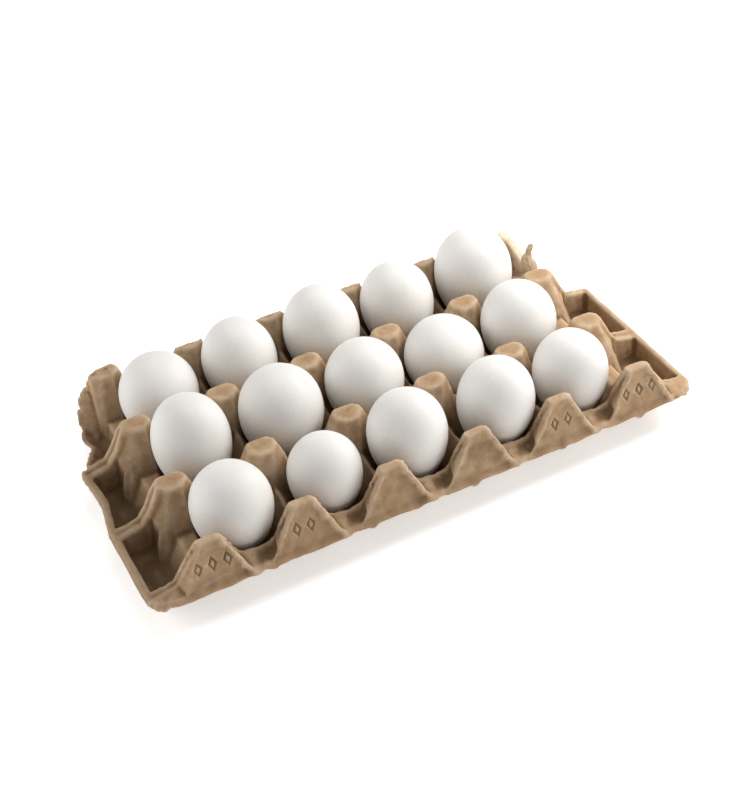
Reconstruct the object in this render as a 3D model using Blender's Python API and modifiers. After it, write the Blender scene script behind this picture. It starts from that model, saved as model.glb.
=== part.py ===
"""Half of a moulded-pulp egg flat, cut across behind its third row of cups, holding fifteen eggs.

The tray is one pressed sheet of pulp: cups between rows of hollow posts, closed pockets in both
end margins, a sloping front edge and a rim round three sides. Each egg stands in its own cup.
Units are metres, +Z is up, and the origin is under the middle of the object, at table height.
"""

import math

import bmesh
import bpy
from mathutils import Matrix, Vector

MM = 0.001

# Driving dimensions of the tray
COLUMNS, ROWS = 5, 3
PITCH = 47 * MM
WALL = 2.3 * MM
POST_TOP = 41 * MM

# Post tops are octagons: half the width across flats, and half the length of one flat
POST_FLAT = 7.6 * MM
POST_EDGE = 3.15 * MM
POST_BACK_EDGE = ((5.2 * MM, 3.8 * MM), (POST_FLAT, 1.2 * MM))  # they are cut short behind

# Heights, measured down from the post tops
CUP_FLOOR = POST_TOP - WALL
CUP_WALL_DROP = 27 * MM
SADDLE_DROP = 19 * MM
FOOT_DROP = 17 * MM
RIM_DROP = 21.3 * MM
SKIRT_DROP = 25.2 * MM
POCKET_FLOOR = 36.5 * MM
POCKET_WALL_DROP = 32.5 * MM

# Cup radii: floor, lower wall, and the wall at CUP_WALL_DROP towards a post and towards a saddle
CUP_FLOOR_RADIUS = 9.5 * MM
CUP_LOW_RADIUS = 15.4 * MM
CUP_LOW_DROP = 35 * MM
CUP_POST_RADIUS = 18.5 * MM
CUP_SADDLE_RADIUS = 18.8 * MM
CUP_SADDLE_INSET = 5.5 * MM
CUP_SHIFT = (-1.2 * MM, 0.5 * MM)  # the cups sit a little left of and behind the middle of their posts
FOOT = 14 * MM  # from a post's middle to where its side meets the crest between two cups

# Outer walls: the front crest stands inside the line of posts, and the crests at the ends are wide
# flat saddles, whose inner and outer edges lie on both sides of that line
FRONT_CREST = 3.2 * MM
CUT_CREST = -1 * MM
END_FOOT = 16 * MM
END_INNER = 2.5 * MM
END_OUTER = 6 * MM
END_DROP = 22.5 * MM

# End margins, measured outwards from the end posts
RIM_INNER = 29.8 * MM
RIM_OUTER = 33 * MM
SKIRT_OUTER = 34 * MM
RIDGE_EDGES = (-5 * MM, 2.6 * MM)  # in front of and behind the line of posts
FRONT_RIDGE_EDGES = (-0.7 * MM, 3.5 * MM)
RIDGE = ((13.4 * MM, 12 * MM), (18.3 * MM, 19 * MM), (25 * MM, 20.5 * MM), (RIM_INNER, RIM_DROP))
POCKET_CENTRE = 20 * MM
POCKET_HALF = (5.5 * MM, 10 * MM)
POCKET_SLOPE = 0.5  # how far out from the floor the wall bends, on the side of the posts
POCKET_STEEP = 0.7  # the same under the ridges and the rim, where it is steeper
RIM_DENT = 4 * MM  # the rim of the middle left pocket is pushed in by this much
LAST_RIDGE_CUT = 2.4 * MM  # the back left ridge is this much shorter, as the rim behind it is torn off
LAST_RIDGE_TEAR = 4 * MM  # the back right ridge is torn off slantwise, by this much at the rim

# The torn edges of the two back pockets, in mm: outwards, behind the back posts, below their tops
TORN_FLOOR = ((24.5, -38, 23), (17.5, -25.4, 25.5), (20, -15, 27))
TORN_LOBE = ((19.3, -5, 25), (17.5, -1.5, 18), (13.5, 0, 10.5), (8.5, 1.2, 2.5))
TORN_FLAP = ((10, -6, 3), (12, -15, 12), (11, -24, 20), (8.5, -31, 23.5))
TORN_CENTRE, TORN_DEPTH, TORN_HALF = 11 * MM, 32 * MM, (2.8 * MM, 7 * MM)

# Front edge, measured forwards from the front posts
FRONT_FLAT = (5.3 * MM, 0.5 * MM)
FRONT_FOOT = (16.5 * MM, 7 * MM, 21.8 * MM)
FRONT_FOOT_LEFT = 20.5 * MM  # a face between two others runs out further on its left
SKIRT_FRONT = 9.4 * MM

# The rounded front corners, in mm: outwards and forwards at the rim, then at the skirt's edge
CORNER = (((25, 6.6), (25.5, 9.2)), ((30, 4.2), (31.3, 6)))
CORNER_DROP = RIM_DROP + 0.4 * MM
OUTER_RIM_DROP = RIM_DROP + 0.3 * MM
FRONT_SAG = 0.8 * MM  # the front edge is this much lower between two posts

# Where the cut passes the back posts, measured backwards from their middles
CUT_FIRST_POST = 2.5 * MM
CUT_OTHER_POSTS = -2.4 * MM

# Eggs by row from the front: width and height above the post tops in mm, and lean to the left in degrees
EGGS = (
    ((40.6, 13.3, 2.5), (37.3, 9.8, -1), (40.6, 16.5, 1.5), (39.8, 16.4, -4.5), (39.3, 14.4, -0.5)),
    ((39.7, 21.0, 2.5), (43.4, 17.8, 0.2), (41.4, 15.1, 0), (42.6, 10.2, -0.2), (40.8, 15.4, 2)),
    ((41.6, 13.0, 1), (39.8, 17.0, 3.5), (41.5, 19.4, 2), (40.6, 17.2, 3.6), (43.3, 22.0, 1.8)),
)
LEAN_TURN = math.radians(26)  # the eggs lean about an axis turned this far from the tray's depth
EGG_GAP = 0.7 * MM
EGG_TAPER = 0.13
EGG_WIDEST = 1.0082  # how far the taper swells the widest ring
EGG_LETTERS = "abcde"
EGG_STEPS = 14
EGG_RINGS = 8

X_FIRST = -COLUMNS * PITCH / 2
Y_FIRST = -(ROWS * PITCH + CUT_FIRST_POST - SKIRT_FRONT) / 2


def material(name, colour, roughness):
    """A plain Principled material."""
    made = bpy.data.materials.new(name)
    made.use_nodes = True
    shader = made.node_tree.nodes["Principled BSDF"]
    shader.inputs["Base Color"].default_value = (*colour, 1)
    shader.inputs["Roughness"].default_value = roughness
    return made


def point(x, y, drop):
    """A point of the sheet: x and y from the front left post, and how far it is below the post tops."""
    return Vector((X_FIRST + x, Y_FIRST + y, POST_TOP - drop))


def loft(mesh, rings):
    """Joins rings of as many points each with quads, and closes the first ring with a flat floor."""
    rows = [[mesh.verts.new(co) for co in ring] for ring in rings]
    mesh.faces.new(rows[0])
    for low, high in zip(rows, rows[1:]):
        for k in range(len(low)):
            after = (k + 1) % len(low)
            mesh.faces.new((low[k], low[after], high[after], high[k]))


def face(mesh, *corners):
    mesh.faces.new([mesh.verts.new(co) for co in corners])


def strip(mesh, first, second):
    """A band of quads between two lines of as many points."""
    for k in range(len(first) - 1):
        face(mesh, first[k], first[k + 1], second[k + 1], second[k])


def post_corner(i, j, side_x, side_y):
    """The ends of the post top's slanted edge that faces (side_x, side_y), the one nearer that side's
    saddle in y first."""
    x, y = i * PITCH, j * PITCH
    ends = POST_BACK_EDGE if side_y > 0 else ((POST_EDGE, POST_FLAT), (POST_FLAT, POST_EDGE))
    return tuple(point(x + side_x * across, y + side_y * along, 0) for across, along in ends)


def crest_x(i, j, station, outer=False):
    """The crest in the line of posts of column i between posts j and j + 1, at its near foot, its middle
    or its far foot: station 0, 1 or 2. At the ends of the tray it has an inner and an outer edge."""
    side = {0: -1, COLUMNS: 1}.get(i, 0)
    foot = END_FOOT if side else FOOT
    along = (foot, PITCH / 2, PITCH - foot)[station]
    if not side:
        return point(i * PITCH, j * PITCH + along, SADDLE_DROP if station == 1 else FOOT_DROP)
    return point(i * PITCH + side * (END_OUTER if outer else -END_INNER), j * PITCH + along, END_DROP)


def crest_y(i, j, station):
    """The crest in the line of posts of row j between posts i and i + 1, at the same three stations."""
    inset = {0: FRONT_CREST, ROWS: CUT_CREST}.get(j, 0)
    along = (FOOT, PITCH / 2, PITCH - FOOT)[station]
    return point(i * PITCH + along, j * PITCH + inset, SADDLE_DROP if station == 1 else FOOT_DROP)


def cup_centre(i, j, drop):
    return point((i + 0.5) * PITCH + CUP_SHIFT[0], (j + 0.5) * PITCH + CUP_SHIFT[1], drop)


def cup(mesh, i, j):
    """One cup, from its flat floor up to the posts and crests round it."""
    centre = cup_centre(i, j, CUP_FLOOR)
    front_left, back_left = post_corner(i, j, 1, 1), post_corner(i, j + 1, 1, -1)
    front_right, back_right = post_corner(i + 1, j, -1, 1), post_corner(i + 1, j + 1, -1, -1)
    outline = [
        crest_x(i + 1, j, 1), crest_x(i + 1, j, 2), *back_right,
        crest_y(i, j + 1, 2), crest_y(i, j + 1, 1), crest_y(i, j + 1, 0),
        *reversed(back_left), crest_x(i, j, 2), crest_x(i, j, 1), crest_x(i, j, 0),
        *front_left, crest_y(i, j, 0), crest_y(i, j, 1), crest_y(i, j, 2),
        *reversed(front_right), crest_x(i + 1, j, 0),
    ]
    floor, low, wall = [], [], []
    for edge in outline:
        away = Vector((edge.x - centre.x, edge.y - centre.y, 0))
        reach, away = away.length, away.normalized()
        if edge.z > POST_TOP - FOOT_DROP / 2:
            radius = CUP_POST_RADIUS
        else:
            radius = max(CUP_SADDLE_RADIUS, reach - CUP_SADDLE_INSET)
        floor.append(centre + away * CUP_FLOOR_RADIUS)
        low.append(centre + away * CUP_LOW_RADIUS + Vector((0, 0, CUP_FLOOR - CUP_LOW_DROP)))
        wall.append(centre + away * radius + Vector((0, 0, CUP_FLOOR - CUP_WALL_DROP)))
    loft(mesh, [floor, low, wall, outline])


def cut_at(i):
    """How far behind the middle of back post i the tray is cut."""
    return CUT_FIRST_POST if i == 0 else CUT_OTHER_POSTS


def post_top(mesh, i, j):
    """The flat top of one post. The front ones end in a straight front edge, the back ones in the cut."""
    x, y = i * PITCH, j * PITCH
    half, forward = FRONT_FLAT
    outline = []
    if j < ROWS:
        right, left = post_corner(i, j, 1, 1), post_corner(i, j, -1, 1)
        outline += [right[1], right[0], left[0], left[1]]
    else:
        cut = y + cut_at(i)
        outline += [point(x + POST_FLAT, cut, 0), point(x - POST_FLAT, cut, 0)]
    if j > 0:
        left, right = post_corner(i, j, -1, -1), post_corner(i, j, 1, -1)
        outline += [left[1], left[0], right[0], right[1]]
    else:
        outline += [point(x - half, -forward, 0), point(x + half, -forward, 0)]
    face(mesh, *outline)


def post_fins(mesh):
    """The narrow sides of the posts that run down to the crests between the cups."""
    for i in range(COLUMNS + 1):
        for j in range(ROWS):
            left, right = i == 0, i == COLUMNS
            near, far = [[crest_x(i, j, station, outer) for outer in (right, left)] for station in (0, 2)]
            feet = 2 if left or right else 1
            face(mesh, post_corner(i, j, -1, 1)[0], post_corner(i, j, 1, 1)[0], *near[:feet])
            face(mesh, post_corner(i, j + 1, 1, -1)[0], post_corner(i, j + 1, -1, -1)[0],
                 *reversed(far[:feet]))
    for i in range(COLUMNS):
        for j in range(1, ROWS):
            face(mesh, post_corner(i, j, 1, 1)[1], post_corner(i, j, 1, -1)[1], crest_y(i, j, 0))
            face(mesh, post_corner(i + 1, j, -1, -1)[1], post_corner(i + 1, j, -1, 1)[1],
                 crest_y(i, j, 2))
        y = ROWS * PITCH
        cut_left = point(i * PITCH + POST_FLAT, y + cut_at(i), 0)
        cut_right = point((i + 1) * PITCH - POST_FLAT, y + cut_at(i + 1), 0)
        face(mesh, post_corner(i, ROWS, 1, -1)[1], cut_left, crest_y(i, ROWS, 0))
        face(mesh, cut_right, post_corner(i + 1, ROWS, -1, -1)[1], crest_y(i, ROWS, 2))


def outwards(side, distance, y, drop):
    """A point of an end margin: side is -1 at the left end and 1 at the right one."""
    base = 0 if side < 0 else COLUMNS * PITCH
    return point(base + side * distance, y, drop)


def ridge_cut(side, j):
    return LAST_RIDGE_CUT if side < 0 and j == ROWS - 1 else 0


def ridge(side, j, edge):
    """One edge of the ridge that runs from end post j to the rim: edge is -1 in front, 1 behind."""
    end = 0 if side < 0 else COLUMNS
    if j == 0 and edge < 0:
        first = outwards(side, FRONT_FLAT[0], -FRONT_FLAT[1], 0)
    else:
        first = post_corner(end, j, side, edge)[1]
    front_edge, back_edge = FRONT_RIDGE_EDGES if j == 0 else RIDGE_EDGES
    y = j * PITCH + (front_edge if edge < 0 else back_edge)
    short = ridge_cut(side, j)
    tear = LAST_RIDGE_TEAR if side > 0 and j == ROWS - 1 and edge > 0 else 0
    return [first] + [
        outwards(side, out - (short if out == RIM_INNER else 0), y - tear * out / RIM_INNER, drop)
        for out, drop in RIDGE
    ]


def rim_dent(side, j):
    return RIM_DENT if side < 0 and j == 1 else 0


def pocket(mesh, side, j):
    """One deep pocket of an end margin, between two ridges. The back left one is torn open outside."""
    end = 0 if side < 0 else COLUMNS
    middle = (j + 0.5) * PITCH
    front = ridge(side, j, 1)
    if j < ROWS - 1:
        rim = [outwards(side, RIM_INNER - rim_dent(side, j), middle, RIM_DROP)]
        back = list(reversed(ridge(side, j + 1, -1)))
        centre, (half_x, half_y) = outwards(side, POCKET_CENTRE, middle, POCKET_FLOOR), POCKET_HALF
    else:
        rim = [outwards(side, out * MM, ROWS * PITCH + y * MM, drop * MM) for out, y, drop in TORN_FLOOR]
        back = [outwards(side, out * MM, ROWS * PITCH + y * MM, drop * MM) for out, y, drop in TORN_LOBE]
        back.append(post_corner(end, ROWS, side, -1)[1])
        centre, (half_x, half_y) = outwards(side, TORN_CENTRE, middle, TORN_DEPTH), TORN_HALF
    outline = [
        crest_x(end, j, 1, True), crest_x(end, j, 0, True), post_corner(end, j, side, 1)[0], *front, *rim,
        *back, post_corner(end, j + 1, side, -1)[0], crest_x(end, j, 2, True),
    ]
    steep = [*front[1:], *rim, *back[:-1]] if j < ROWS - 1 else []
    floor, wall = [], []
    for edge in outline:
        angle = math.atan2((edge.y - centre.y) / half_y, (edge.x - centre.x) / half_x)
        low = centre + Vector((half_x * math.cos(angle), half_y * math.sin(angle), 0))
        floor.append(low)
        between = low.lerp(edge, POCKET_STEEP if edge in steep else POCKET_SLOPE)
        if edge in steep:
            between.z = POST_TOP - POCKET_WALL_DROP
        wall.append(between)
    loft(mesh, [floor, wall, outline])


def margin(mesh, side):
    """The saddles, ridges, pockets, rim and skirt of one end."""
    end = 0 if side < 0 else COLUMNS
    for j in range(ROWS):
        strip(mesh, *[[crest_x(end, j, station, outer) for station in range(3)] for outer in (False, True)])
        if side < 0 or j < ROWS - 1:
            pocket(mesh, side, j)
        strip(mesh, ridge(side, j, -1), ridge(side, j, 1))
    inner, outer, skirt = [], [], []
    for j in range(ROWS):
        stations = [(ridge(side, j, edge)[-1].y - Y_FIRST, ridge_cut(side, j)) for edge in (-1, 1)]
        if j < ROWS - 1:
            stations.append(((j + 0.5) * PITCH, rim_dent(side, j)))
        for y, dent in stations:
            inner.append(outwards(side, RIM_INNER - dent, y, RIM_DROP))
            outer.append(outwards(side, RIM_OUTER - dent, y, OUTER_RIM_DROP))
            skirt.append(outwards(side, SKIRT_OUTER - dent, y, SKIRT_DROP))
    strip(mesh, inner, outer)
    strip(mesh, outer, skirt)
    if side > 0:
        back = ROWS * PITCH
        strip(mesh,
              [post_corner(COLUMNS, ROWS, 1, -1)[1], post_corner(COLUMNS, ROWS, 1, -1)[0],
               crest_x(COLUMNS, ROWS - 1, 2, True), crest_x(COLUMNS, ROWS - 1, 1, True)],
              [outwards(side, out * MM, back + y * MM, drop * MM) for out, y, drop in TORN_FLAP])
    corner(mesh, side, outer[0], skirt[0])


def corner(mesh, side, rim_end, skirt_end):
    """The rounded front corner between the side rim and the front edge."""
    foot, forward, drop = FRONT_FOOT
    top, low = [outwards(side, foot, -forward, drop)], [outwards(side, foot, -SKIRT_FRONT, SKIRT_DROP)]
    for rim, skirt in CORNER:
        top.append(outwards(side, rim[0] * MM, -rim[1] * MM, CORNER_DROP))
        low.append(outwards(side, skirt[0] * MM, -skirt[1] * MM, SKIRT_DROP))
    top.append(rim_end)
    low.append(skirt_end)
    strip(mesh, top, low)
    edge = ridge(side, 0, -1)
    face(mesh, edge[0], edge[1], top[0])
    face(mesh, edge[1], edge[2], top[0])
    strip(mesh, edge[2:], top[:3])
    face(mesh, edge[-1], top[2], top[3])


def front(mesh):
    """The sloping front: a tall face on each post, a low one between two posts, and the skirt."""
    foot, forward, drop = FRONT_FOOT
    half, start = FRONT_FLAT
    valley = (foot + PITCH - FRONT_FOOT_LEFT) / 2
    edge = []
    for i in range(COLUMNS + 1):
        x = i * PITCH
        left = FRONT_FOOT_LEFT if i else foot
        face(mesh, point(x - half, -start, 0), point(x + half, -start, 0),
             point(x + foot, -forward, drop), point(x - left, -forward, drop))
        edge += [(x - left, drop), (x + foot, drop), (x + valley, drop + FRONT_SAG)]
    edge.pop()
    for i in range(COLUMNS):
        for post, way, reach in ((i, 1, foot), (i + 1, -1, FRONT_FOOT_LEFT)):
            x = post * PITCH
            face(mesh, point(x + way * half, -start, 0), post_corner(post, 0, way, 1)[1],
                 crest_y(i, 0, 0 if way > 0 else 2), point(x + way * reach, -forward, drop))
        x = i * PITCH
        strip(mesh,
              [crest_y(i, 0, station) for station in range(3)],
              [point(x + foot, -forward, drop), point(x + valley, -forward, drop + FRONT_SAG),
               point(x + PITCH - FRONT_FOOT_LEFT, -forward, drop)])
    strip(mesh, [point(x, -forward, d) for x, d in edge],
          [point(x, -SKIRT_FRONT, SKIRT_DROP) for x, d in edge])


def tray(collection, pulp):
    mesh = bmesh.new()
    for i in range(COLUMNS):
        for j in range(ROWS):
            cup(mesh, i, j)
    for i in range(COLUMNS + 1):
        for j in range(ROWS + 1):
            post_top(mesh, i, j)
    post_fins(mesh)
    front(mesh)
    for side in (-1, 1):
        margin(mesh, side)
    y = ROWS * PITCH
    face(mesh, post_corner(0, ROWS, -1, -1)[1], outwards(-1, 8.5 * MM, y + 1.2 * MM, 2.5 * MM),
         point(-POST_FLAT, y + CUT_FIRST_POST, 0))
    bmesh.ops.remove_doubles(mesh, verts=mesh.verts, dist=0.01 * MM)
    bmesh.ops.recalc_face_normals(mesh, faces=mesh.faces)
    if sum(f.normal.z * f.calc_area() for f in mesh.faces) < 0:
        bmesh.ops.reverse_faces(mesh, faces=mesh.faces)
    data = bpy.data.meshes.new("tray")
    mesh.to_mesh(data)
    mesh.free()
    made = bpy.data.objects.new("tray", data)
    collection.objects.link(made)
    data.materials.append(pulp)
    shell = made.modifiers.new("pulp wall", "SOLIDIFY")
    shell.thickness = WALL
    shell.offset = -1
    shell.use_even_offset = True
    return made


def egg(collection, shell, name, place, width, length, lean):
    """One egg, a profile turned about its long axis, standing on its small end and leaning a little."""
    mesh = bmesh.new()
    line = []
    for k in range(EGG_RINGS + 1):
        turn = math.pi * (1 - k / EGG_RINGS)
        radius = width / 2 * math.sin(turn) * (1 - EGG_TAPER * math.cos(turn)) / EGG_WIDEST
        height = length / 2 * (1 - math.cos(turn))
        line.append(mesh.verts.new((radius if 0 < k < EGG_RINGS else 0, 0, height)))
    for upper, lower in zip(line, line[1:]):
        mesh.edges.new((upper, lower))
    data = bpy.data.meshes.new(name)
    mesh.to_mesh(data)
    mesh.free()
    made = bpy.data.objects.new(name, data)
    collection.objects.link(made)
    data.materials.append(shell)
    made.location = place
    made.rotation_euler = (Matrix.Rotation(-LEAN_TURN, 3, "Z") @ Matrix.Rotation(-lean, 3, "Y")).to_euler()
    turned = made.modifiers.new("turned", "SCREW")
    turned.angle = math.tau
    turned.steps = EGG_STEPS
    turned.render_steps = EGG_STEPS
    turned.use_merge_vertices = True
    turned.merge_threshold = 0.00001
    turned.use_smooth_shade = True
    return made


def main():
    for old in list(bpy.data.objects):
        bpy.data.objects.remove(old, do_unlink=True)
    collection = bpy.data.collections.new("egg tray with eggs")
    bpy.context.scene.collection.children.link(collection)
    pulp = material("pulp", (0.36, 0.24, 0.15), 0.95)
    shell = material("egg shell", (0.86, 0.84, 0.80), 0.5)
    tray(collection, pulp)
    for j, row in enumerate(EGGS):
        for i, (width, above, lean) in enumerate(row):
            bottom = CUP_FLOOR - EGG_GAP
            egg(collection, shell, f"egg_{j + 1}{EGG_LETTERS[i]}", cup_centre(i, j, bottom),
                width * MM, above * MM + bottom, math.radians(lean))


main()
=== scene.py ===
"""Half of a moulded-pulp egg flat holding fifteen white eggs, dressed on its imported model."""

import math

import bpy
import numpy as np
from mathutils import Euler, Matrix, Vector, noise


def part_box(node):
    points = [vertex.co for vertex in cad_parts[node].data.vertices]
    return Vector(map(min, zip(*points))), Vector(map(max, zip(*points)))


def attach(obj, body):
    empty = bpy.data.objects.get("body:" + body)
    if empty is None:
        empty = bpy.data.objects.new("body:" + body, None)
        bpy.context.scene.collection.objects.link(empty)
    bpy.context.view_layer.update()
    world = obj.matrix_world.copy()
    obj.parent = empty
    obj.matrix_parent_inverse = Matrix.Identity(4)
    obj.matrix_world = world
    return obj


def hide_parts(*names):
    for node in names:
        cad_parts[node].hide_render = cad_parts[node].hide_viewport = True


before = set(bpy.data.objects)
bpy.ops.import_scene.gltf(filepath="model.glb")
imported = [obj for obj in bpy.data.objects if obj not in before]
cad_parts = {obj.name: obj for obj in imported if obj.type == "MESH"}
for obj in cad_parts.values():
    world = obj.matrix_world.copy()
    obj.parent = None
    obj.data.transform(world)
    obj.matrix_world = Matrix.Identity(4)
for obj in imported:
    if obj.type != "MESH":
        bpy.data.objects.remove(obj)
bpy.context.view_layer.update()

# ---------------------------------------------------------------------------------------------
# The tray: half of an egg flat, one sheet of grey-brown paper pulp sucked wet onto a wire mould
# and dried. Its edges are soft, its faces are lumpy with fibre, marks are pressed into its front,
# and its back edge was cut through by hand and torn at both corners.
# ---------------------------------------------------------------------------------------------
mm = 0.001
columns, rows, pitch = 5, 3, 47.0
tray_low, tray_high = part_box("tray")
first_post = np.array((tray_low.x + 34 * mm, tray_low.y + 9.4 * mm, tray_high.z))


def begin_piece():
    """Leaves nothing selected, as an operator acts on all that is."""
    bpy.ops.object.select_all(action="DESELECT")


def finish_with(piece, kind, name, **settings):
    """Adds a modifier to the piece and applies it."""
    made = piece.modifiers.new(name, kind)
    for key, value in settings.items():
        setattr(made, key, value)
    bpy.ops.object.modifier_apply(modifier=made.name)


def sheet_points(piece):
    """A piece's vertices in mm from the top of the front left post: right, behind and down."""
    found = np.empty(len(piece.data.vertices) * 3)
    piece.data.vertices.foreach_get("co", found)
    return (found.reshape(-1, 3) - first_post) / mm * (1, 1, -1)


def set_sheet_points(piece, places):
    found = places * (1, 1, -1) * mm + first_post
    piece.data.vertices.foreach_set("co", np.ascontiguousarray(found).reshape(-1))
    piece.data.update()


def facing(piece):
    """The vertices' normals, in the same right, behind and down."""
    found = np.empty(len(piece.data.vertices) * 3)
    piece.data.vertex_normals.foreach_get("vector", found)
    return found.reshape(-1, 3) * (1, 1, -1)


def from_line(places, line):
    """How far each place is from a line through the given points."""
    nearest = np.full(len(places), 1e9)
    for start, end in zip(np.array(line[:-1], float), np.array(line[1:], float)):
        way = end - start
        along = np.clip((places - start) @ way / (way @ way), 0, 1)
        nearest = np.minimum(nearest, np.linalg.norm(places - start - along[:, None] * way, axis=1))
    return nearest


def neighbour_mean(piece, values):
    """The mean of each vertex's neighbours, for a number or a place at each vertex."""
    ends = np.empty(len(piece.data.edges) * 2, np.int32)
    piece.data.edges.foreach_get("vertices", ends)
    ends = ends.reshape(-1, 2)
    total, count = np.zeros_like(values), np.zeros(len(values))
    for a, b in (ends.T, ends[:, ::-1].T):
        np.add.at(total, a, values[b])
        np.add.at(count, a, 1)
    count = np.maximum(count, 1)
    return total / (count if values.ndim == 1 else count[:, None])


def refine(piece, chosen):
    """Halves the chosen faces: chosen is given their middles, in mm as above."""
    middles = np.empty(len(piece.data.polygons) * 3)
    piece.data.polygons.foreach_get("center", middles)
    middles = (middles.reshape(-1, 3) - first_post) / mm * (1, 1, -1)
    bpy.ops.object.mode_set(mode="EDIT")
    bpy.ops.mesh.select_mode(type="FACE")
    bpy.ops.mesh.select_all(action="DESELECT")
    bpy.ops.object.mode_set(mode="OBJECT")
    piece.data.polygons.foreach_set("select", chosen(middles))
    bpy.ops.object.mode_set(mode="EDIT")
    bpy.ops.mesh.subdivide(number_cuts=1)
    bpy.ops.object.mode_set(mode="OBJECT")


begin_piece()
tray = bpy.data.objects.new("pulp_tray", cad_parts["tray"].data.copy())
bpy.context.collection.objects.link(tray)
tray.select_set(True)
bpy.context.view_layer.objects.active = tray
bpy.ops.object.mode_set(mode="EDIT")
bpy.ops.mesh.select_all(action="SELECT")
bpy.ops.mesh.remove_doubles(threshold=0.01 * mm)
bpy.ops.object.mode_set(mode="OBJECT")
finish_with(tray, "REMESH", "even mesh", mode="VOXEL", voxel_size=2.1 * mm)
finish_with(tray, "SHRINKWRAP", "onto the facets", target=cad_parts["tray"])

# Ridges run from the end posts to the rim, each with a groove where the two halves of the wire
# mould met. Places are outwards from the end post, behind it and below its top.
ridge_run = ((7.8, 0.6), (13.4, 12), (18.3, 19), (25, 20.5), (29.4, 21.2))


def ridge_line(side, row, behind, run=ridge_run):
    base = 0 if side < 0 else columns * pitch
    return [(base + side * out, row * pitch + behind, drop) for out, drop in run]


ridges = [(side, row) for side in (-1, 1) for row in range(rows)]
near_ridges = [ridge_line(side, row, -1) for side, row in ridges]
marks = {0: (-8.1, -0.7, 6.7), 1: (-5.1, 2.0), columns - 1: (-4.3, 3.4), columns: (-8.6, -0.6, 7.0)}
mark_down, mark_wide, mark_tall = 11.8, 2.0, 3.4


def near_posts(places, reach, depth):
    post = np.round(places[:, :2] / pitch) * pitch
    return (np.hypot(*(places[:, :2] - post).T) < reach) & (places[:, 2] < depth)


def near_marks(places):
    chosen = np.zeros(len(places), bool)
    for post, marked in marks.items():
        for place in marked:
            x = np.abs(places[:, 0] - post * pitch - place)
            chosen |= (x < 3.4) & (np.abs(places[:, 2] - mark_down) < 5.2) & (places[:, 1] < -1.2)
    return chosen


def creased(middles):
    """Faces of the upper side that touch a crease, or are by a ridge, a post's top or a mark."""
    ends = np.empty(len(tray.data.edges) * 2, np.int32)
    tray.data.edges.foreach_get("vertices", ends)
    bpy.ops.object.mode_set(mode="EDIT")
    bpy.ops.mesh.select_mode(type="EDGE")
    bpy.ops.mesh.select_all(action="DESELECT")
    bpy.ops.mesh.edges_select_sharp(sharpness=math.radians(24))
    bpy.ops.object.mode_set(mode="OBJECT")
    sharp = np.zeros(len(tray.data.edges), bool)
    tray.data.edges.foreach_get("select", sharp)
    touched = np.zeros(len(tray.data.vertices), bool)
    touched[ends.reshape(-1, 2)[sharp].reshape(-1)] = True
    loops = np.empty(len(tray.data.loops), np.int32)
    tray.data.loops.foreach_get("vertex_index", loops)
    starts = np.array([face.loop_start for face in tray.data.polygons])
    normals = np.empty(len(tray.data.polygons) * 3)
    tray.data.polygons.foreach_get("normal", normals)
    on_crease = np.add.reduceat(touched[loops].astype(int), starts) >= 2
    chosen = on_crease & (normals.reshape(-1, 3)[:, 2] > -0.15) & (middles[:, 2] < 31)
    for line in near_ridges:
        chosen |= from_line(middles, line) < 5.5
    return chosen | near_marks(middles) | near_posts(middles, 10, 3.5)


refine(tray, creased)
refine(tray, near_marks)
finish_with(tray, "SHRINKWRAP", "onto the facets", target=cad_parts["tray"])
finish_with(tray, "SMOOTH", "soft edges", factor=0.5, iterations=1)
tops = tray.vertex_groups.new(name="tops")
tops.add(np.flatnonzero(near_posts(sheet_points(tray), 11, 3)).tolist(), 1, "REPLACE")
finish_with(tray, "SMOOTH", "round tops", factor=0.6, iterations=5, vertex_group="tops")

at, normal = sheet_points(tray), facing(tray)
upper = np.clip(-normal[:, 2] * 3, 0, 1)
sink = np.zeros(len(at))
for side, row in ridges:
    if side < 0 or row:
        groove = from_line(at, ridge_line(side, row, -0.5 if row else 0.9))
        sink += (0.75 if side < 0 else 0.4) * np.exp(-((groove / 0.6) ** 2)) * upper
    for behind in ((1.6, -3.2) if row else (2.9, 0)):
        band = from_line(at, ridge_line(side, row, behind))
        sink -= 0.3 * np.exp(-((band / 1.0) ** 2)) * upper
    if row:
        foot = from_line(at, ridge_line(side, row, -6.8, ((7.5, 3.5), (13.4, 14.5), (17, 20))))
        sink += 0.9 * np.exp(-((foot / 1.1) ** 2)) * upper
for post in range(columns + 1):
    for row in range(rows + 1):
        away = np.hypot(at[:, 0] - post * pitch, at[:, 1] - row * pitch + 1.5)
        sink += 0.25 * np.exp(-((away / 3.5) ** 2)) * upper * (at[:, 2] < 2.5)

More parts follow.
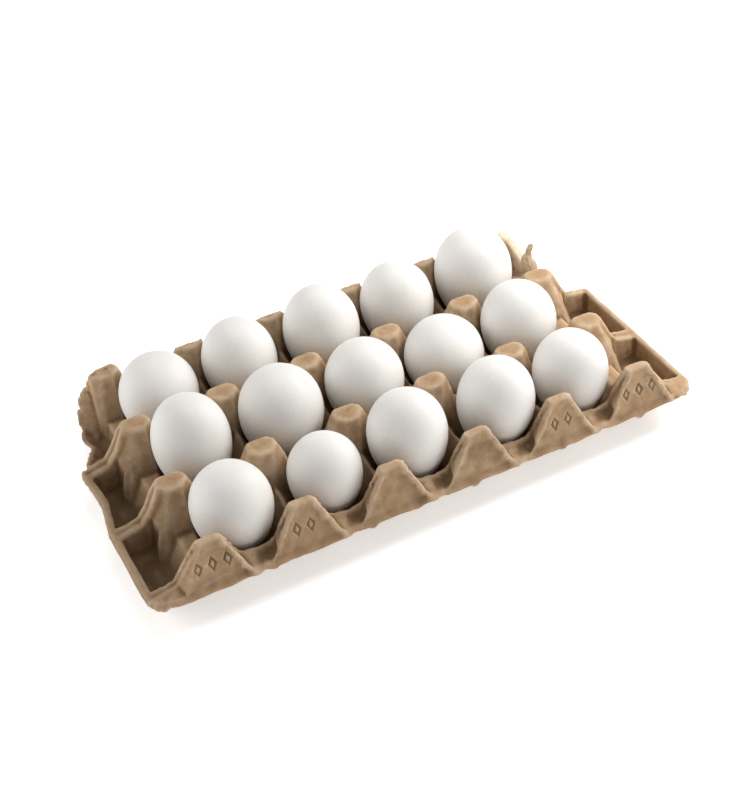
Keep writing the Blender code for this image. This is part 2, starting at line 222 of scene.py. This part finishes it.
# The front faces are a little hollow between a rolled right edge and a thin lip before each egg,
# and carry plain pressed lozenges.
face_slope = np.array((0, -0.958, -0.286))
on_front = np.clip((normal @ face_slope - 0.6) * 5, 0, 1)
hollow = np.zeros(len(at))
for post in range(columns + 1):
    base = post * pitch
    down = np.clip(at[:, 2] / 21.8, 0, 1)
    left_reach, right_reach = 5.3 + (15.2 if post else 11.2) * down, 5.3 + 11.2 * down
    across = (at[:, 0] - base) / np.where(at[:, 0] < base, left_reach, right_reach)
    inside = (np.abs(across) < 1) & (at[:, 1] < 3) & (at[:, 2] < 22)
    hollow += np.where(inside, 0.9 * (1 - across**2) * np.sin(math.pi * down), 0)
    above = normal[:, 2] < 0.3
    rolled = from_line(at, [(base + 6.4, -1, 2.5), (base + 16.5, -7, 21.8), (base + 17.5, -9, 24.5)])
    sink -= 0.9 * np.exp(-((rolled / 1.3) ** 2)) * above
    if post:
        rolled = from_line(at, [(base - 7.5, -1.5, 4), (base - 19.5, -6.6, 20)])
        sink -= 0.4 * np.exp(-((rolled / 1.3) ** 2)) * above
    if post < columns:
        lip = from_line(at, [(base + 11, 2.3, 10), (base + 14, 3.2, 17), (base + 23.5, 3.2, 19),
                             (base + 33, 3.2, 17), (base + 36.5, 2.2, 8)])
        sink -= 0.7 * np.exp(-((lip / 1.0) ** 2)) * above
        dell = np.hypot(at[:, 0] - base - 27, (at[:, 1] + 2) * 1.1)
        sink += 2.4 * np.exp(-((dell / 4) ** 2)) * upper * (np.abs(at[:, 2] - 20) < 3)
for again in range(2):
    sink = (sink + neighbour_mean(tray, sink)) / 2
for post, places in marks.items():
    for place in places:
        wide = np.abs(at[:, 0] - post * pitch - place) / mark_wide
        tall = np.abs(at[:, 2] - mark_down) / mark_tall
        edge = (wide + tall - 0.85) * 1.7
        sink += 0.75 * np.exp(-((edge / 0.45) ** 2)) * on_front * (at[:, 1] < 0)
at = at - normal * sink[:, None] - face_slope * hollow[:, None]

# The back left post was pulled round as the next flat was torn off it.
pulled = np.hypot(at[:, 0] + 8, at[:, 1] - 142.5)
at[:, 2] += 2.6 * np.exp(-((pulled / 5) ** 2)) * np.clip(1 - at[:, 2] / 8, 0, 1)

# The skirt's lower edge is wavy, with a few burrs where the mould was joined.
burrs = ((27, 1.5), (39, 0.7), (78.8, 1.8), (103, 0.7), (135.2, 2.0), (186, 1.6), (232.5, 2.4))
skirt = np.clip((at[:, 2] - 21.5) / 3.5, 0, 1) * (at[:, 1] < -6.5)
wave = np.array([noise.noise(Vector((x / 9, 0.3, 0))) for x in at[:, 0]])
for place, size in burrs:
    wave += size * np.exp(-(((at[:, 0] - place) / 1.9) ** 2))
at[:, 2] += 0.8 * wave * skirt
at[:, 1] -= 0.35 * wave * skirt

# The cut back edge and the torn corner edges are frayed.
torn = (
    [(0, 143.5, 0), (-8.5, 142.2, 2.5), (-13.5, 141, 10.5), (-17.5, 139.5, 18), (-19.3, 136, 25)],
    [(-19.3, 136, 25), (-20, 126, 27), (-17.5, 115.6, 25.5), (-24.5, 103, 23), (-29, 97, 21.3)],
    [(243, 98, 2), (253, 94, 19), (265, 92, 21.3)],
    [(235, 139, 0), (245, 135, 3), (247, 126, 12), (246, 117, 20), (243.5, 110, 23.5)],
)
noise.seed_set(7)
fray = 0.6 * np.clip((at[:, 1] - 136.5) / 2, 0, 1)
for strength, line in zip((0.35, 0.9, 0.8, 1), torn):
    fray = np.maximum(fray, strength * np.clip(1.4 - from_line(at, line) / 2.2, 0, 1))
for k in np.flatnonzero(fray > 0):
    spot = Vector(at[k])
    rough = noise.noise_vector(spot / 2.1) * 0.75 + noise.noise_vector(spot / 0.9) * 0.35
    at[k] += np.array(rough) * fray[k]
fresh = np.exp(-((from_line(at, torn[-1]) / 7) ** 2))
set_sheet_points(tray, at)

for name, size, depth in (("swelling", 16, 0.8), ("lumps", 5, 0.3), ("clots", 2.2, 0.22)):
    relief = bpy.data.textures.new(name, "CLOUDS")
    relief.noise_scale = size * mm
    relief.noise_depth = 2
    finish_with(tray, "DISPLACE", name, texture=relief, texture_coords="LOCAL",
                strength=depth * mm, mid_level=0.5)

# The cups' feet end level, just above the table.
foot_drop = 40.98
at = sheet_points(tray)
at[:, 2] = np.minimum(at[:, 2], foot_drop)
set_sheet_points(tray, at)
bpy.ops.object.shade_smooth()


def keep_on_vertices(piece, name, values):
    stored = piece.data.attributes.new(name, "FLOAT", "POINT")
    stored.data.foreach_set("value", values.astype(np.float32))


# Handling has rubbed the standing edges pale, and they are also painted paler as a highlight. The
# creases are painted dark, as dust and painted shade, and the low places as painted shade.
at = sheet_points(tray)
bend = -np.einsum("ij,ij->i", neighbour_mean(tray, at) - at, facing(tray))
for again in range(2):
    bend = (bend + neighbour_mean(tray, bend)) / 2
# The bend pales the standing edges (wear and a painted highlight) and darkens the creases (dust and
# painted shade).
keep_on_vertices(tray, "wear_and_painted_light", np.clip(bend / 0.09, -1, 1))
keep_on_vertices(tray, "fresh", fresh)
# Painted shade: darker towards the bottom of the cups and pockets, a quarter as much at the right end.
painted_low_shade = np.clip((at[:, 2] - 8) / 22, 0, 1) * (at[:, 1] > -1) * np.where(at[:, 0] > 238, 0.25, 1)
keep_on_vertices(tray, "painted_low_shade", painted_low_shade)


def new_finish(name, colour, roughness):
    """A new material: its node tree, its shader and the place that its patterns read."""
    made = bpy.data.materials.new(name)
    made.use_nodes = True
    tree = made.node_tree
    shader = tree.nodes["Principled BSDF"]
    shader.inputs["Base Color"].default_value = (*colour, 1)
    shader.inputs["Roughness"].default_value = roughness
    place = tree.nodes.new("ShaderNodeTexCoord").outputs["Object"]
    return made, tree, shader, place


def speckle(tree, place, scale, detail=3, roughness=0.5, stretch=None):
    """A noise pattern, drawn out along an axis where stretch is given."""
    made = tree.nodes.new("ShaderNodeTexNoise")
    made.inputs["Scale"].default_value = scale
    made.inputs["Detail"].default_value = detail
    made.inputs["Roughness"].default_value = roughness
    if stretch:
        turned = tree.nodes.new("ShaderNodeMapping")
        turned.inputs["Scale"].default_value = stretch[0]
        turned.inputs["Rotation"].default_value = stretch[1]
        tree.links.new(place, turned.inputs["Vector"])
        place = turned.outputs["Vector"]
    tree.links.new(place, made.inputs["Vector"])
    return made.outputs["Fac"]


def tones(tree, source, *stops):
    """A colour ramp over a pattern: stops are a position and a colour."""
    made = tree.nodes.new("ShaderNodeValToRGB")
    while len(made.color_ramp.elements) < len(stops):
        made.color_ramp.elements.new(0.5)
    for element, (position, colour) in zip(made.color_ramp.elements, stops):
        element.position = position
        element.color = (*colour, 1)
    tree.links.new(source, made.inputs["Fac"])
    return made.outputs["Color"]


def blend_in(tree, kind, share, under, over):
    """Lays one colour over another. Share is a number or a pattern."""
    made = tree.nodes.new("ShaderNodeMix")
    made.data_type = "RGBA"
    made.blend_type = kind
    factor = made.inputs["Factor"]
    if isinstance(share, float):
        factor.default_value = share
    else:
        tree.links.new(share, factor)
    for socket, colour in ((made.inputs[6], under), (made.inputs[7], over)):
        if isinstance(colour, tuple):
            socket.default_value = (*colour, 1)
        else:
            tree.links.new(colour, socket)
    return made.outputs[2]


def measure(tree, kind, first, second):
    """Arithmetic on two patterns or numbers."""
    made = tree.nodes.new("ShaderNodeMath")
    made.operation = kind
    for socket, value in zip(made.inputs, (first, second)):
        if isinstance(value, (int, float)):
            socket.default_value = value
        else:
            tree.links.new(value, socket)
    return made.outputs[0]


def raise_from(tree, shader, height, distance):
    """Bump: the height pattern stands up by the distance."""
    made = tree.nodes.new("ShaderNodeBump")
    made.inputs["Distance"].default_value = distance
    tree.links.new(height, made.inputs["Height"])
    tree.links.new(made.outputs["Normal"], shader.inputs["Normal"])


pulp, tree, shader, place = new_finish("brown_pulp", (0.42, 0.30, 0.2), 0.96)
shader.inputs["Specular IOR Level"].default_value = 0.12
pulp_tone = tones(tree, speckle(tree, place, 34, 3, 0.55),
                  (0.32, (0.41, 0.265, 0.15)), (0.5, (0.455, 0.3, 0.172)), (0.7, (0.47, 0.325, 0.195)))
mottle = tones(tree, speckle(tree, place, 260, 4, 0.6),
               (0.3, (0.86, 0.85, 0.84)), (0.5, (0.97, 0.97, 0.97)), (0.72, (1, 1, 1)))
colour = blend_in(tree, "MULTIPLY", 1.0, pulp_tone, mottle)
for turn, shade in (((0.5, 0.3, 0.2), (0.66, 0.63, 0.6)), ((0.2, 1.1, 1.9), (0.7, 0.67, 0.62))):
    strands = speckle(tree, place, 520, 3, 0.6, ((1, 0.13, 1), turn))
    colour = blend_in(tree, "MULTIPLY", 0.55, colour,
                      tones(tree, strands, (0.29, shade), (0.37, (1, 1, 1))))
pale_strands = speckle(tree, place, 430, 3, 0.55, ((0.12, 1, 1), (1.2, 0.4, 0.7)))
colour = blend_in(tree, "MIX", tones(tree, pale_strands, (0.66, (0, 0, 0)), (0.74, (0.5, 0.5, 0.5))),
                  colour, (0.6, 0.49, 0.37))
wear_and_painted_light = tree.nodes.new("ShaderNodeAttribute")
wear_and_painted_light.attribute_name = "wear_and_painted_light"
patchy = tones(tree, speckle(tree, place, 180, 2, 0.5), (0.35, (0.45, 0.45, 0.45)), (0.6, (1, 1, 1)))
# Painted highlight with wear: the standing edges are made paler in patches.
edge_wear_and_highlight = measure(tree, "MULTIPLY", measure(tree, "MAXIMUM", wear_and_painted_light.outputs["Fac"], 0), patchy)
colour = blend_in(tree, "MIX", measure(tree, "MULTIPLY", edge_wear_and_highlight, 0.5), colour, (0.72, 0.575, 0.43))
# Painted shade with dust: the creases are made dark.
crease_dust_and_shade = measure(tree, "MAXIMUM", measure(tree, "MULTIPLY", wear_and_painted_light.outputs["Fac"], -1), 0)
colour = blend_in(tree, "MIX", measure(tree, "MULTIPLY", crease_dust_and_shade, 0.8), colour, (0.14, 0.085, 0.045))
# Painted shade: the pulp is coloured darker in the low places.
low_shade_node = tree.nodes.new("ShaderNodeAttribute")
low_shade_node.attribute_name = "painted_low_shade"
low_shade_share = measure(tree, "MULTIPLY", low_shade_node.outputs["Fac"], 0.6)
colour = blend_in(tree, "MIX", low_shade_share, colour, (0.16, 0.10, 0.055))
fresh_pulp = tree.nodes.new("ShaderNodeAttribute")
fresh_pulp.attribute_name = "fresh"
paler = tones(tree, speckle(tree, place, 150, 3, 0.6), (0.34, (0.35, 0.35, 0.35)), (0.55, (1, 1, 1)))
colour = blend_in(tree, "MIX", measure(tree, "MULTIPLY", fresh_pulp.outputs["Fac"], paler),
                  colour, (0.74, 0.62, 0.47))
tree.links.new(colour, shader.inputs["Base Color"])
fibres = speckle(tree, place, 420, 3, 0.6, ((1, 0.15, 1), (0.5, 0.3, 0.2)))
felt = measure(tree, "ADD", speckle(tree, place, 900, 4, 0.65), measure(tree, "MULTIPLY", fibres, 0.8))
raise_from(tree, shader, felt, 0.25 * mm)
tray.data.materials.clear()
tray.data.materials.append(pulp)
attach(tray, "root")
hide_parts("tray")

# ---------------------------------------------------------------------------------------------
# A shard of pulp that stayed standing where the back right corner was torn away: it rises from
# the wall behind the last end post to a bent tip, with a notch beside it.
# ---------------------------------------------------------------------------------------------
begin_piece()
bpy.ops.mesh.primitive_grid_add(x_subdivisions=14, y_subdivisions=34, size=1)
shard = bpy.context.object
shard.name = "torn_shard"
bpy.ops.object.shade_smooth()
spread = sheet_points(shard)
across = spread[:, 0] - spread[:, 0].mean()
up = (spread[:, 1] - spread[:, 1].mean()) / 1000 + 0.5
across = across / np.abs(across).max()
outline_up = (0, 0.55, 0.7, 0.8, 0.9, 1)
left_edge = np.interp(up, outline_up, (238, 236.5, 236.5, 237.6, 240.2, 243.4))
right_edge = np.interp(up, outline_up, (247, 246, 243.8, 243.2, 244.6, 244.6))
notch = 1.6 * np.exp(-(((up - 0.84) / 0.05) ** 2)) * np.clip(-across, 0, 1)
shaped = np.stack([
    left_edge + notch + (right_edge - left_edge) * (across + 1) / 2,
    108.5 + 3 * up + 1.4 * across**2 - 1.2 * np.sin(up * 5),
    23 - 27.5 * up,
], axis=1)
set_sheet_points(shard, shaped)
finish_with(shard, "SOLIDIFY", "torn thickness", thickness=1.5 * mm, offset=0)
shaped = sheet_points(shard)
for spot in shaped:
    rough = noise.noise_vector(Vector(spot) / 1.8) * 0.5 + noise.noise_vector(Vector(spot) / 0.8) * 0.3
    spot += np.array(rough)
set_sheet_points(shard, shaped)
finish_with(shard, "SUBSURF", "softer", levels=1, render_levels=1)
keep_on_vertices(shard, "wear_and_painted_light", np.zeros(len(shard.data.vertices)))
keep_on_vertices(shard, "fresh", np.clip((18 - sheet_points(shard)[:, 2]) / 30, 0, 0.6))
shard.data.materials.append(pulp)
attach(shard, "root")

# ---------------------------------------------------------------------------------------------
# Fifteen hen's eggs, white and matt, each standing on its small end in its own cup and leaning
# on the pulp. Each is turned to its own place by the solid that it stands for.
# ---------------------------------------------------------------------------------------------
shell, tree, shader, place = new_finish("white_shell", (0.83, 0.80, 0.76), 0.5)
shader.inputs["Specular IOR Level"].default_value = 0.35
shell_tone = tones(tree, speckle(tree, place, 42, 2, 0.5),
                   (0.3, (0.80, 0.775, 0.735)), (0.7, (0.84, 0.82, 0.785)))
chalk = tones(tree, speckle(tree, place, 700, 3, 0.6), (0.3, (0.965, 0.96, 0.955)), (0.55, (1, 1, 1)))
tree.links.new(blend_in(tree, "MULTIPLY", 1.0, shell_tone, chalk), shader.inputs["Base Color"])
pores = speckle(tree, place, 2400, 2, 0.5)
raise_from(tree, shader, pores, 0.05 * mm)

# The taper by itself would widen the widest ring by egg_swell.
egg_taper = 0.26
egg_swell = 1.0082

for name in sorted(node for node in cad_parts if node.startswith("egg_")):
    solid = np.array([v.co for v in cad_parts[name].data.vertices])
    bottom = solid[solid[:, 2].argmin()]
    top = solid[np.linalg.norm(solid - bottom, axis=1).argmax()]
    bottom = solid[np.linalg.norm(solid - top, axis=1).argmax()]
    axis = (top - bottom) / np.linalg.norm(top - bottom)
    aside = solid - bottom - np.outer((solid - bottom) @ axis, axis)
    width, length = 2 * np.linalg.norm(aside, axis=1).max(), np.linalg.norm(top - bottom)
    begin_piece()
    bpy.ops.mesh.primitive_uv_sphere_add(segments=64, ring_count=44, radius=0.5)
    egg = bpy.context.object
    egg.name = "shell_" + name[4:]
    round_at = np.array([v.co for v in egg.data.vertices])
    swell = width * (1 + egg_taper * round_at[:, 2]) / egg_swell
    round_at *= np.stack([swell, swell, np.full(len(swell), length)], axis=1)
    upright = Vector((0, 0, 1)).rotation_difference(Vector(axis)).to_matrix()
    round_at = round_at @ np.array(upright).T + (top + bottom) / 2
    egg.data.vertices.foreach_set("co", round_at.reshape(-1))
    unevenness = bpy.data.textures.new("unevenness", "CLOUDS")
    unevenness.noise_scale = 22 * mm
    finish_with(egg, "DISPLACE", "uneven shell", texture=unevenness, texture_coords="LOCAL",
                strength=0.5 * mm, mid_level=0.5)
    bpy.ops.object.shade_smooth()
    egg.data.materials.append(shell)
    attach(egg, "root")
    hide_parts(name)

# ---------------------------------------------------------------------------------------------
# The table is white matt paper, which throws light back up. Four soft square lamps stand round the
# tray: behind it on the left, before it on the right, close on the right, and overhead.
# ---------------------------------------------------------------------------------------------
begin_piece()
bpy.ops.mesh.primitive_plane_add(size=8, location=(0, 0, -0.0002))
table = bpy.context.object
table.name = "table"
paper, tree, shader, place = new_finish("white_paper", (0.95, 0.95, 0.95), 0.8)
shader.inputs["Emission Color"].default_value = (1, 1, 1, 1)
shader.inputs["Emission Strength"].default_value = 0.5
table.data.materials.append(paper)

for name, place_at, size, power in (
    ("left back", (-0.83, 0.37, 0.44), 0.8, 5.2),
    ("front right", (0.65, -0.62, 0.44), 0.6, 2.3),
    ("near right", (0.39, 0.02, 0.34), 0.3, 2.4),
    ("overhead", (0.05, 0.1, 0.9), 0.4, 1.5),
):
    light = bpy.data.lights.new(name, "AREA")
    light.size = size
    light.energy = power
    lamp = bpy.data.objects.new(name, light)
    bpy.context.collection.objects.link(lamp)
    lamp.location = place_at
    lamp.rotation_euler = Vector(place_at).to_track_quat("Z", "Y").to_euler()

world = bpy.data.worlds.new("studio")
bpy.context.scene.world = world
world.use_nodes = True
world.node_tree.nodes["Background"].inputs["Color"].default_value = (1, 1, 1, 1)
world.node_tree.nodes["Background"].inputs["Strength"].default_value = 0.2
bpy.context.scene.view_settings.view_transform = "Standard"

camera = bpy.data.cameras.new("camera")
camera.lens = 65.9
camera.sensor_width = 36
camera_at = bpy.data.objects.new("camera", camera)
bpy.context.collection.objects.link(camera_at)
look_down, heading, roll = (math.radians(angle) for angle in (90 - 40.95, -25.72, -3.53))
turn = Euler((look_down, 0, heading)).to_matrix() @ Matrix.Rotation(roll, 3, "Z")
aim = Vector(first_post) + Vector((0.1099, 0.0461, 0))
stand_off = turn @ Vector((0, 0, 0.726))
camera_at.matrix_world = Matrix.Translation(aim + stand_off) @ turn.to_4x4()
bpy.context.scene.camera = camera_at
